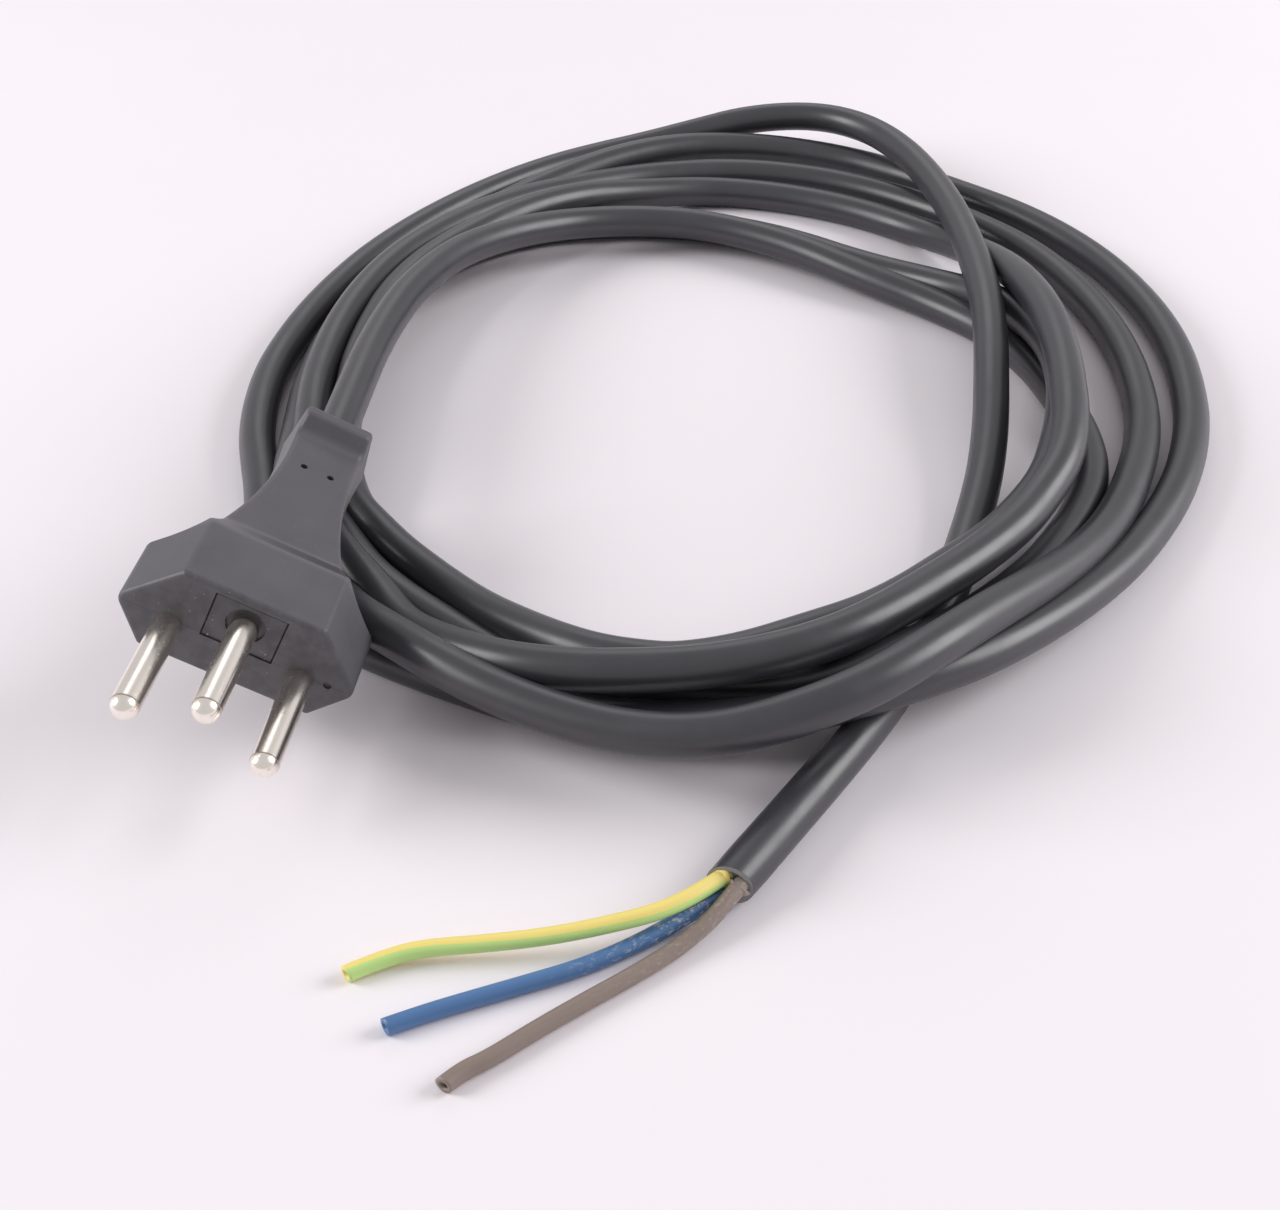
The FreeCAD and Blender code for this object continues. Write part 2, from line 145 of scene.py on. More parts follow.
# The lead, turn by turn from the plug to the cut end: x, y and height above the floor, in millimetres
LEAVING_PLUG = [
    (-1.3, 32, 17.5), (-1.3, 50, 17.5), (-2, 68, 17), (-2.6, 83, 16.3), (-2.4, 96.5, 15.6), (-0.9, 111, 15),
    (3.7, 129.5, 13.4), (11.8, 144.5, 11), (22.2, 156, 8.4), (36, 162.5, 6.8), (51, 163, 6), (68, 156, 5.6),
    (82.5, 146.5, 4.6), (96.5, 138, 3.3), (107, 128.3, 3.15), (114.3, 116.5, 3.15), (119, 103, 3.15),
    (121.8, 90.5, 3.15), (122, 78, 3.15), (119, 65.5, 3.3),
]
FIRST_TURN = [
    (112, 49.5, 4.5), (105, 37, 6.5), (97.5, 26, 8.6), (89.5, 18, 9.5), (81.5, 14.5, 8.4), (73, 14, 5.6),
    (63.5, 15, 3.6), (53.5, 15.8, 3.15), (44.5, 15.3, 3.15), (36, 16.4, 3.15), (28.5, 19.6, 3.15),
    (21.5, 24.4, 3.15), (14.2, 30, 3.15), (7.2, 36.6, 3.15), (2.1, 43.3, 3.15), (-2.6, 50.6, 3.15),
    (-6.2, 58.6, 3.15), (-7.8, 68, 3.15), (-8.6, 79, 3.15), (-9.2, 90.5, 3.15), (-9.6, 102, 3.15),
    (-9.6, 113.4, 3.15), (-8.7, 125.7, 3.15), (-6, 138.5, 3.15), (-0.6, 149.6, 3.15), (8.4, 159.6, 3.15),
    (20.6, 166.4, 3.15),
]
SECOND_TURN = [
    (35.5, 169.2, 3.15), (51.5, 168.5, 3.15), (68, 162.7, 3.15), (83, 153.4, 3.15), (97.5, 144.4, 4.4),
    (107.6, 133.4, 7.2), (114, 121.4, 9), (117.6, 109.8, 9.5), (118.4, 98.8, 9.6), (117.6, 88, 9.8),
    (115.8, 77.5, 9.5), (113.2, 68, 8.4), (108.5, 59, 7.2), (102.5, 49, 7.6), (95.5, 38.5, 9.2),
    (89.5, 31, 9.7), (83, 25, 9.8), (75, 19.5, 10), (66.5, 14.6, 9.8), (58, 12, 9.4), (52, 11.8, 9.4),
    (46.3, 12.8, 9.2), (40.2, 16, 8.2), (33.3, 21.4, 6.4), (26, 27.8, 4.6), (18.5, 35, 3.6),
    (10.8, 42.6, 3.15), (5.2, 48.9, 3.15),
]
THIRD_TURN = [
    (0, 55, 4), (-3.4, 62.8, 6.8), (-5.4, 72, 8.8), (-6.1, 81.5, 9.3), (-7.3, 92, 9.5), (-7.6, 106, 9.5),
    (-6.5, 120.5, 9.5), (-2.6, 134.5, 9.5), (4.2, 147.6, 9.5), (12.7, 160, 9.3), (22.2, 170.9, 7.8),
    (33.5, 179.6, 5.4), (49, 187, 3.4), (65, 186, 3.15), (80.5, 180.5, 3.15), (93.5, 171.5, 3.6),
    (103.5, 158, 6.4), (110.9, 138, 11.6), (115.3, 116.5, 15.2), (117, 98, 16), (117, 84, 16.2),
    (116.4, 73, 15.7), (114.7, 64, 14.6), (111.4, 56, 13.6), (106.3, 46.4, 12.9), (99.2, 36.4, 13),
    (93, 28.7, 13.4), (87, 21.4, 14), (80, 14.6, 14.4), (71.7, 9.9, 14), (62.3, 7, 13.3), (52.8, 5.9, 12.6),
    (43, 6, 11.8), (32.8, 8.4, 10.5), (23.2, 13.9, 8.4), (16, 20, 6.8),
]
FOURTH_TURN = [
    (10, 28.4, 6.2), (2, 38, 6.4), (-4.2, 48, 6.4), (-7.6, 58.6, 8.8), (-10.2, 69.5, 9.4), (-12.3, 80, 9.4),
    (-13.5, 91, 9.3), (-13.9, 105, 9.3), (-12.6, 120, 9.3), (-8.9, 136, 9.1), (-1.8, 153, 8.2),
    (8.7, 169.3, 6.8), (22, 183, 5), (36, 193, 3.7), (53, 198.3, 3.15), (69, 197.2, 3.15),
    (82.7, 192.5, 3.15), (95.8, 184.7, 3.15), (108.4, 174.2, 3.15), (120, 159.8, 3.15),
    (128.3, 140.4, 3.15), (132.4, 121.7, 3.3), (133.2, 103.2, 3.6), (131.8, 88.6, 4), (128.5, 74.7, 4.8),
    (123.7, 60.7, 5.8), (117.4, 47.7, 7.8), (109.6, 35, 10.8), (101.3, 23, 13.8), (93.5, 12.2, 15.8),
    (86.5, 4.6, 15.9), (80, 0, 15), (72.3, -3.3, 13.4), (64.5, -5.1, 11.8), (56.6, -5, 10.6),
    (48.3, -3.4, 10), (39.7, -0.5, 9.9), (31, 3.3, 10.2), (23.8, 7.6, 10.4), (17.8, 12.6, 9.5),
]
FIFTH_TURN = [
    (10.9, 18.6, 8.4), (5.6, 26, 5.8), (0, 34.6, 4), (-6.3, 44, 3.4), (-9.5, 52, 4.2), (-11.6, 60, 5.6),
    (-13.4, 69.5, 5), (-15.4, 80, 3.8), (-17.4, 93.5, 3.15), (-17.8, 109, 3.15), (-16.3, 124, 3.15),
    (-12.9, 139, 3.15), (-7.9, 152.7, 3.15), (-0.8, 166, 3.3), (8, 177.8, 4.2), (17.8, 187.8, 5.4),
    (28, 196.6, 6.2), (39, 204, 6), (50, 208.6, 5.2), (62.2, 210.8, 4.2), (77, 209, 3.3),
    (91.2, 201.7, 3.15), (104.8, 191.6, 3.15), (119.3, 178.9, 3.15), (131.4, 161.5, 3.15),
    (139.1, 141.6, 3.15), (142.4, 123, 3.15), (142.4, 105, 3.15), (140.6, 91, 3.15), (136.8, 77, 3.15),
    (131.4, 64, 3.3), (124.5, 50.8, 4.2), (116.2, 38.1, 5.8), (107.7, 27.2, 7.5), (99.4, 18.4, 8.8),
    (90.8, 11.9, 9.4), (83, 8, 9), (75, 5.4, 7.6), (65.4, 4.4, 6), (54.3, 4.6, 4.4), (43, 6.4, 3.3),
    (34, 8.8, 3.15), (24.8, 12.2, 3.15), (15.8, 16, 3.15),
]
TO_CUT_END = [
    (7.6, 20.2, 3.15), (0, 25.8, 3.15), (-6, 32.6, 3.15), (-10.2, 39.8, 3.15), (-13, 46.6, 3.15),
    (-14.8, 52.8, 3.15), (-16.7, 59, 3.15), (-19.2, 66, 3.15), (-21.9, 74, 3.15), (-24.1, 83.7, 3.15),
    (-25.4, 93.5, 3.15), (-25.7, 104, 3.15), (-24.6, 118, 3.15), (-22.2, 131.8, 3.15), (-18.4, 146, 3.15),
    (-12.9, 159.6, 3.15), (-6, 172.6, 3.15), (2.8, 185.6, 3.15), (12.5, 196.6, 3.15), (22.2, 204.8, 3.15),
    (32.2, 210.8, 3.8), (43, 214.8, 5.6), (56.4, 217, 8.6), (71.6, 216.2, 10.2), (84, 208.5, 10.6),
    (93, 193, 10.9), (99.5, 172, 11.3), (103.5, 149.6, 11.8), (105.7, 128.5, 11.8), (106.2, 112, 11),
    (105.8, 98, 9.3), (105.2, 85.4, 7.2), (103.9, 73.6, 5.4), (102, 63.3, 4), (99.6, 52.5, 3.15),
    (96.5, 40.5, 3.15), (92.4, 28, 3.15), (87.2, 14.5, 3.15), (81, 1.7, 3.15), (74.2, -11.1, 3.15),
    (67.3, -24, 3.15),
]

# The bare cores from the cut sheath to their own cut ends, in the same measures
EARTH_ROUTE = [
    (60.2, -29.6, 4.3), (52.6, -33, 3.9), (45.2, -35.1, 3.2), (37.7, -36.4, 2.5), (30.3, -37.5, 1.8),
    (25.6, -39.4, 1.3), (22, -41.7, 1.125),
]
NEUTRAL_ROUTE = [
    (63, -27.6, 1.7), (57.2, -32.6, 1.2), (50.6, -37.3, 1.125), (43.5, -41.1, 1.125), (36.6, -44.6, 1.125),
    (32.1, -47, 1.125), (28.5, -49.1, 1.125),
]
LINE_ROUTE = [
    (65.4, -29.2, 2.4), (61.5, -33.5, 1.4), (56.8, -38, 1.125), (51.3, -42.9, 1.125), (46.1, -47.7, 1.125),
    (41.6, -52.1, 1.125), (38.7, -54.4, 1.125), (36.9, -56.6, 1.125),
]

# Places of the cores round the middle of the sheath, in degrees
CORE_PLACES = {"earth": 140.0, "line": 20.0, "neutral": 260.0}


class LeadSizes(bpy.types.PropertyGroup):
    """Thicknesses of the lead and its cores."""
    sheath: bpy.props.FloatProperty(
        name="Sheath", description="Outer diameter of the lead", default=6.3 * MM, unit="LENGTH")
    sheath_wall: bpy.props.FloatProperty(
        name="Sheath wall", description="Thickness of the sheath at its cut end",
        default=0.8 * MM, unit="LENGTH")
    core: bpy.props.FloatProperty(
        name="Core", description="Outer diameter of one insulated core", default=2.25 * MM, unit="LENGTH")
    conductor: bpy.props.FloatProperty(
        name="Conductor", description="Diameter over the copper strands", default=1.1 * MM, unit="LENGTH")
    core_circle: bpy.props.FloatProperty(
        name="Core circle", description="Radius that the cores lie on in the sheath",
        default=1.35 * MM, unit="LENGTH")
    strip_depth: bpy.props.FloatProperty(
        name="Strip depth", description="Depth of the hollow at the sheath's cut end",
        default=0.5 * MM, unit="LENGTH")
    strand_recess: bpy.props.FloatProperty(
        name="Strand recess", description="Depth of the strands below a core's cut end",
        default=0.7 * MM, unit="LENGTH")
    sheath_slant: bpy.props.FloatProperty(
        name="Sheath slant", description="Turn of the sheath's cut end",
        default=math.radians(15.0), subtype="ANGLE")
    core_slant: bpy.props.FloatProperty(
        name="Core slant", description="Turn of the cores' cut ends",
        default=math.radians(9.0), subtype="ANGLE")


class PlugColours(bpy.types.PropertyGroup):
    """Colours of the plug, the lead and the surface that they lie on."""
    housing: bpy.props.FloatVectorProperty(
        name="Housing", description="Charcoal of the moulded housing", subtype="COLOR", size=3,
        default=(0.098, 0.094, 0.104), min=0.0, max=1.0)
    sheath: bpy.props.FloatVectorProperty(
        name="Sheath", description="Charcoal of the lead's sheath", subtype="COLOR", size=3,
        default=(0.036, 0.035, 0.041), min=0.0, max=1.0)
    pin: bpy.props.FloatVectorProperty(
        name="Pins", description="Bright nickel of the pins", subtype="COLOR", size=3,
        default=(0.94, 0.875, 0.8), min=0.0, max=1.0)
    yellow: bpy.props.FloatVectorProperty(
        name="Earth yellow", description="Yellow of the earth core", subtype="COLOR", size=3,
        default=(0.95, 0.78, 0.23), min=0.0, max=1.0)
    green: bpy.props.FloatVectorProperty(
        name="Earth green", description="Green stripe of the earth core", subtype="COLOR", size=3,
        default=(0.56, 0.86, 0.29), min=0.0, max=1.0)
    blue: bpy.props.FloatVectorProperty(
        name="Neutral blue", description="Blue of the neutral core", subtype="COLOR", size=3,
        default=(0.075, 0.19, 0.42), min=0.0, max=1.0)
    brown: bpy.props.FloatVectorProperty(
        name="Line brown", description="Grey brown of the line core", subtype="COLOR", size=3,
        default=(0.27, 0.205, 0.175), min=0.0, max=1.0)
    copper: bpy.props.FloatVectorProperty(
        name="Conductor", description="Dull copper of the strands", subtype="COLOR", size=3,
        default=(0.24, 0.13, 0.08), min=0.0, max=1.0)
    floor: bpy.props.FloatVectorProperty(
        name="Surface", description="Pale surface that the lead lies on", subtype="COLOR", size=3,
        default=(0.93, 0.88, 0.92), min=0.0, max=1.0)


class Wire:
    """One output socket of a node, with arithmetic that adds Math nodes."""

    def __init__(self, graph, socket):
        self.graph = graph
        self.socket = socket

    def maths(self, operation, first, second=0.0):
        return self.graph.add("ShaderNodeMath", {"operation": operation}, {0: first, 1: second})

    def __add__(self, other):
        return self.maths("ADD", self, other)

    def __radd__(self, other):
        return self.maths("ADD", other, self)

    def __sub__(self, other):
        return self.maths("SUBTRACT", self, other)

    def __mul__(self, other):
        return self.maths("MULTIPLY", self, other)

    def __rmul__(self, other):
        return self.maths("MULTIPLY", other, self)

    def __truediv__(self, other):
        return self.maths("DIVIDE", self, other)

    def __gt__(self, other):
        return self.maths("GREATER_THAN", self, other)

    def __lt__(self, other):
        return self.maths("LESS_THAN", self, other)

    def __abs__(self):
        return self.maths("ABSOLUTE", self)

    def wrapped(self):
        """The part after the point, so that a count of turns starts again at each turn."""
        return self.maths("FRACT", self)


class Graph:
    """A material's node tree with its Principled shader."""

    def __init__(self, name, colour, roughness, **constants):
        self.material = bpy.data.materials.new(name)
        self.material.use_nodes = True
        self.tree = self.material.node_tree
        self.shader = self.tree.nodes["Principled BSDF"]
        self.shader.inputs["Base Color"].default_value = (*colour, 1.0)
        self.shader.inputs["Roughness"].default_value = roughness
        for socket, value in constants.items():
            self.shader.inputs[socket.replace("_", " ")].default_value = value
        self.material.diffuse_color = (*colour, 1.0)

    def add(self, kind, settings=None, inputs=None, output=0):
        """Adds one node, sets it up and returns one of its outputs."""
        node = self.tree.nodes.new(kind)
        for name, value in (settings or {}).items():
            if name == "stops":
                self.set_stops(node.color_ramp, value)
            else:
                setattr(node, name, value)
        for key, value in (inputs or {}).items():
            socket = node.inputs[key]
            if isinstance(value, Wire):
                self.tree.links.new(value.socket, socket)
            else:
                socket.default_value = value
        return Wire(self, node.outputs[output])

    def set_stops(self, ramp, stops):
        while len(ramp.elements) < len(stops):
            ramp.elements.new(1.0)
        for element, (place, level) in zip(ramp.elements, stops):
            element.position = place
            element.color = (level, level, level, 1.0)

    def drive(self, socket, wire):
        """Lets a wire set one input of the shader."""
        self.tree.links.new(wire.socket, self.shader.inputs[socket])

    def coordinates(self, output="Object"):
        return self.add("ShaderNodeTexCoord", None, None, output)

    def turned(self, place, angles):
        inputs = {"Vector": place, "Rotation": angles}
        return self.add("ShaderNodeMapping", {"vector_type": "TEXTURE"}, inputs)

    def stretched(self, place, scale):
        return self.add("ShaderNodeMapping", None, {"Vector": place, "Scale": scale})

    def axis(self, place, name):
        return self.add("ShaderNodeSeparateXYZ", None, {0: place}, name)

    def distance(self, place, point):
        return self.add("ShaderNodeVectorMath", {"operation": "DISTANCE"}, {0: place, 1: point}, "Value")

    def noise(self, place, scale, detail=3.0, roughness=0.55):
        inputs = {"Vector": place, "Scale": scale, "Detail": detail, "Roughness": roughness}
        return self.add("ShaderNodeTexNoise", None, inputs, "Fac")

    def ramp(self, level, *stops):
        """Turns a level into another by stops, each a place from 0 to 1 and the level there."""
        return self.add("ShaderNodeValToRGB", {"stops": stops}, {"Fac": level})

    def blend(self, share, first, second):
        """Mixes two colours by a share from 0 to 1."""
        first = first if isinstance(first, Wire) else (*first, 1.0)
        second = second if isinstance(second, Wire) else (*second, 1.0)
        return self.add("ShaderNodeMix", {"data_type": "RGBA"}, {0: share, 6: first, 7: second}, 2)

    def bump(self, height, depth):
        relief = self.add("ShaderNodeBump", None, {"Height": height, "Distance": depth}, "Normal")
        self.drive("Normal", relief)


def scaled(colour, factor):
    return tuple(channel * factor for channel in colour)


def painted_step_light(graph, tone, colour, local):
    """Paints the step's light: shade from pale to dark across the neck, and highlights along its two edges.
    """
    across = graph.axis(local, "X") / STRIP_WIDTH + 0.5
    depth = graph.axis(local, "Y")
    top = graph.axis(local, "Z") > 0.0
    step = graph.ramp((depth - STEP_START) / STEP_RUN, (0.05, 0.0), (0.25, 1.0), (0.9, 1.0), (1.0, 0.0))
    # Painted shade: the step's band runs from a painted highlight on the left to painted shade on the right
    shade = graph.ramp(across, (0.12, 0.0), (0.42, 0.55), (0.85, 1.0))
    painted_step_shade = graph.blend(shade, scaled(colour, 1.7), scaled(colour, 0.14))
    tone = graph.blend(step * top * 0.85, tone, painted_step_shade)
    # Painted highlights along the step's near and far edges, where light catches them
    near_edge_highlight = graph.ramp(abs(depth - STEP_START) / MM, (0.1, 1.0), (0.8, 0.0))
    far_edge_highlight = graph.ramp(abs(depth - STEP_START - STEP_RUN) / MM, (0.1, 1.0), (0.7, 0.0))
    return graph.blend((near_edge_highlight + far_edge_highlight) * top * 0.4, tone, scaled(colour, 1.9))


def housing_finish(name, colour):
    """Matte moulded charcoal plastic: fine grain, a parting line, painted light on the step, darker front
    patches and dust.
    """
    graph = Graph(name, colour, 0.5)
    place = graph.coordinates()
    local = graph.turned(place, (0.0, PLUG_ROLL, 0.0))
    grain = graph.noise(place, HOUSING_GRAIN, 2.0)
    cloud = graph.noise(place, HOUSING_CLOUD, 4.0)
    smear = graph.noise(graph.stretched(local, SMEAR_STRETCH), HOUSING_SMEAR, 3.0)
    mottle = graph.ramp(cloud, (0.35, 0.0), (0.7, 1.0))
    tone = graph.blend(mottle, scaled(colour, 0.92), scaled(colour, 1.1))
    seam = abs(graph.axis(local, "Z") - PARTING_HEIGHT) < PARTING_HALF_WIDTH
    tone = graph.blend(seam * 0.5, tone, scaled(colour, 0.55))
    tone = painted_step_light(graph, tone, colour, local)
    # The front face is made darker in noisy patches
    front = graph.axis(local, "Y") < FRONT_DEPTH
    front_darkening = graph.ramp(smear, (0.42, 0.0), (0.62, 1.0))
    tone = graph.blend(front * front_darkening * 0.6, tone, scaled(colour, 0.6))
    specks = graph.ramp(graph.noise(place, DUST_SPECKS, 1.0), (0.72, 0.0), (0.76, 1.0))
    tone = graph.blend(specks * (0.06 + 0.3 * front), tone, DUST)
    graph.drive("Base Color", tone)
    graph.drive("Roughness", 0.36 + 0.16 * cloud + 0.08 * smear)
    graph.bump(grain * 0.5 + cloud * 0.35 - seam * 1.2, HOUSING_RELIEF)
    return graph.material


def pin_finish(colour):
    """Bright nickel plate with fine lengthwise wear, a painted reflection of the dark housing at the root,
    and a rim where the domed tip starts.
    """
    graph = Graph("pin_nickel", colour, 0.22, Metallic=1.0)
    place = graph.coordinates()
    depth = graph.axis(place, "Y")
    drawn = graph.noise(graph.stretched(place, PIN_STRETCH), PIN_DRAWING, 3.0)
    spots = graph.noise(place, PIN_SPOTS, 4.0, 0.7)
    tarnish = graph.ramp(spots, (0.56, 0.0), (0.72, 1.0))
    # Painted reflection: the pin darkens towards its root, where the dark housing face would be mirrored
    root = graph.ramp(depth / PIN_LENGTH + 1.0, (0.86, 0.0), (1.0, 0.55))
    tone = graph.blend(tarnish * 0.25, colour, scaled(colour, 0.7))
    tone = graph.blend(root * 0.6, tone, scaled(colour, 0.4))
    rim = abs(depth + PIN_WALL) < RIM_HALF_WIDTH
    tone = graph.blend(rim * 0.5, tone, scaled(colour, 0.4))
    graph.drive("Base Color", tone)
    graph.drive("Roughness", 0.19 + 0.08 * drawn + 0.08 * tarnish)
    graph.bump(drawn * 0.6 + spots * 0.2, PIN_RELIEF)
    return graph.material


def sheath_finish(colour, end, cut_radius):
    """Satin charcoal sheath with a faint grain, dull handling marks, slight waviness and a pale cut face."""
    graph = Graph("sheath_satin", colour, 0.36, Specular_IOR_Level=0.7)
    place = graph.coordinates()
    grain = graph.noise(place, SHEATH_GRAIN, 2.0)
    wave = graph.noise(place, SHEATH_WAVE, 2.0)
    marks = graph.noise(place, SHEATH_MARKS, 5.0, 0.65)
    dull = graph.ramp(marks, (0.48, 0.0), (0.72, 1.0))
    tone = graph.blend(dull * 0.55, colour, scaled(colour, 1.45))
    cut = graph.distance(place, end) < cut_radius
    tone = graph.blend(cut, tone, CUT_FACE)
    graph.drive("Base Color", tone)
    graph.drive("Roughness", 0.32 + 0.1 * dull + 0.05 * grain + 0.3 * cut)
    graph.bump(grain * 0.18 + wave * 0.8, SHEATH_RELIEF)
    return graph.material


def core_finish(name, colour, chalk):
    """Satin core insulation with faint lengthwise drag lines and a chalky bloom near the cut sheath."""
    graph = Graph(name, colour, 0.4, Specular_IOR_Level=0.7)
    along = graph.coordinates("UV")
    drag = graph.noise(graph.stretched(along, CORE_DRAG), 1.0, 3.0)
    streaks = graph.noise(graph.stretched(along, CORE_STREAKS), 1.0, 5.0, 0.7)
    bloom = graph.ramp(streaks, (0.53, 0.0), (0.62, 1.0))
    near_cut = graph.ramp(graph.axis(along, "X"), (0.05, 1.0), (0.34, 0.7), (0.6, 0.0))
    tone = graph.blend(drag * 0.6, scaled(colour, 0.8), scaled(colour, 1.2))
    tone = graph.blend(bloom * near_cut * chalk, tone, DUST)
    graph.drive("Base Color", tone)
    graph.drive("Roughness", 0.28 + 0.2 * drag)
    graph.bump(drag, CORE_RELIEF)
    return graph.material


def striped_finish(name, yellow, green):
    """Yellow earth insulation with one broad green stripe, which turns slowly round it."""
    graph = Graph(name, yellow, 0.4)
    place = graph.coordinates()
    along = graph.coordinates("UV")
    drag = graph.noise(graph.stretched(along, CORE_DRAG), 1.0, 3.0)
    round_it = graph.axis(along, "Y") - STRIPE_TWIST * graph.axis(along, "X") + STRIPE_WAVER * drag
    stripe = (round_it + STRIPE_START).wrapped() < STRIPE_WIDTH
    tone = graph.blend(stripe, yellow, green)
    tone = graph.blend(drag * 0.25, tone, scaled(yellow, 0.8))
    graph.drive("Base Color", tone)
    graph.drive("Roughness", 0.34 + 0.2 * drag)
    graph.bump(drag + graph.noise(place, EARTH_GRAIN) * 0.4, CORE_RELIEF)
    return graph.material


def copper_finish(colour):
    """Dull cut copper strands."""
    graph = Graph("conductor_copper", colour, 0.45, Metallic=1.0)
    place = graph.coordinates()
    spots = graph.noise(place, COPPER_SPOTS, 3.0)
    graph.drive("Base Color", graph.blend(spots, scaled(colour, 0.5), scaled(colour, 1.3)))
    graph.drive("Roughness", 0.3 + 0.35 * spots)
    graph.bump(spots, COPPER_RELIEF)
    return graph.material


def clear_selection():
    if bpy.context.object and bpy.context.object.mode != "OBJECT":
        bpy.ops.object.mode_set(mode="OBJECT")
    bpy.ops.object.select_all(action="DESELECT")


def take(piece):
    """Makes one piece the only selected and active object."""
    clear_selection()
    piece.select_set(True)
    bpy.context.view_layer.objects.active = piece


def paint(piece, material):
    piece.data.materials.clear()
    piece.data.materials.append(material)


def paint_node(node, material):
    """Gives a CAD node a better material in its own slots."""
    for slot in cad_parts[node].material_slots:
        slot.material = material


def above_floor(points):
    """Turns a route's millimetres into places over the surface."""
    return [Vector((x * MM, y * MM, FLOOR_HEIGHT + height * MM)) for x, y, height in points]


def pushed_out(points, lowest):
    """Moves each inner point away from the middle of its neighbours, and keeps it on the surface."""
    moved = [points[0].copy()]
    for before, here, after in zip(points, points[1:], points[2:]):
        place = here + (here - (before + after) / 2) * OUTWARD_SHARE
        place.z = max(place.z, lowest)
        moved.append(place)
    moved.append(points[-1].copy())
    return moved


def route_curve(name, points, steps):
    """A smooth open curve with the route's points as its control points."""
    curve = bpy.data.curves.new(name, "CURVE")
    curve.dimensions = "3D"
    line = curve.splines.new("NURBS")
    line.points.add(len(points) - 1)
    for point, place in zip(line.points, points):
        point.co = (*place, 1.0)
    line.order_u = 3
    line.use_endpoint_u = True
    line.resolution_u = steps
    piece = bpy.data.objects.new(name, curve)
    bpy.context.collection.objects.link(piece)
    return piece


def centreline(piece):
    """The points along a bare curve, in order."""
    bpy.context.view_layer.update()
    mesh = bpy.data.meshes.new_from_object(piece)
    points = [vertex.co.copy() for vertex in mesh.vertices]
    bpy.data.meshes.remove(mesh)
    return points


def round_tube(piece, diameter, sides, capped):
    """Thickens a curve into a round tube and makes it a mesh."""
    piece.data.bevel_depth = diameter / 2
    # A bevel has four sides more than twice its resolution
    piece.data.bevel_resolution = sides // 2 - 2
    piece.data.use_fill_caps = capped
    take(piece)
    bpy.ops.object.convert(target="MESH")
    bpy.ops.object.mode_set(mode="EDIT")
    bpy.ops.mesh.select_all(action="SELECT")
    bpy.ops.mesh.remove_doubles(threshold=diameter * WELD_SHARE)
    bpy.ops.mesh.normals_make_consistent(inside=False)
    bpy.ops.object.mode_set(mode="OBJECT")
    bpy.ops.object.shade_smooth_by_angle(angle=TUBE_SMOOTHING)


def pick_cap(piece, place, diameter):
    """Selects the small faces that close a tube at a place."""
    mesh = piece.data
    for group in (mesh.vertices, mesh.edges, mesh.polygons):
        for element in group:
            element.select = False
    for face in mesh.polygons:
        face.select = len(face.vertices) != 4 and (face.center - place).length < diameter


def slant_end(piece, place, diameter, angle):
    """Turns the rim at a tube's end about the vertical, so that the cut is aslant."""
    mesh = piece.data
    take(piece)
    for group in (mesh.edges, mesh.polygons):
        for element in group:
            element.select = False
    for vertex in mesh.vertices:
        vertex.select = (vertex.co - place).length < diameter * RIM_REACH
    bpy.ops.object.mode_set(mode="EDIT")
    bpy.ops.mesh.select_mode(type="VERT")
    bpy.ops.transform.rotate(value=-angle, orient_axis="Z", center_override=place)
    bpy.ops.object.mode_set(mode="OBJECT")


class PLUG_OT_lead(bpy.types.Operator):
    """Lays the sheathed lead from the plug through its loose turns to the cut end"""
    bl_idname = "plug.lead"
    bl_label = "Lay the lead"

    def execute(self, context):
        sizes = context.scene.lead_sizes
        turns = FIRST_TURN + SECOND_TURN + THIRD_TURN + FOURTH_TURN + FIFTH_TURN
        route = LEAVING_PLUG + turns + TO_CUT_END
        points = pushed_out(above_floor(route), FLOOR_HEIGHT + sizes.sheath / 2)
        piece = route_curve("lead", points, LEAD_STEPS)
        path = centreline(piece)
        round_tube(piece, sizes.sheath, LEAD_SIDES, True)
        end = path[-1]
        inward = (path[-4] - end).normalized()
        slant_end(piece, end, sizes.sheath, sizes.sheath_slant)
        pick_cap(piece, end, sizes.sheath)
        bpy.ops.object.mode_set(mode="EDIT")
        bpy.ops.mesh.select_mode(type="FACE")
        bpy.ops.mesh.dissolve_faces()
        bpy.ops.mesh.inset(thickness=sizes.sheath_wall, depth=0.0)
        bpy.ops.mesh.extrude_region_move(TRANSFORM_OT_translate={"value": inward * sizes.strip_depth})
        bpy.ops.object.mode_set(mode="OBJECT")
        colour = context.scene.plug_colours.sheath
        paint(piece, sheath_finish(colour, end, sizes.sheath * CUT_FACE_REACH))
        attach(piece, BODY)
        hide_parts("cable_lead", "cable_coil", "cable_tail")
        return {"FINISHED"}


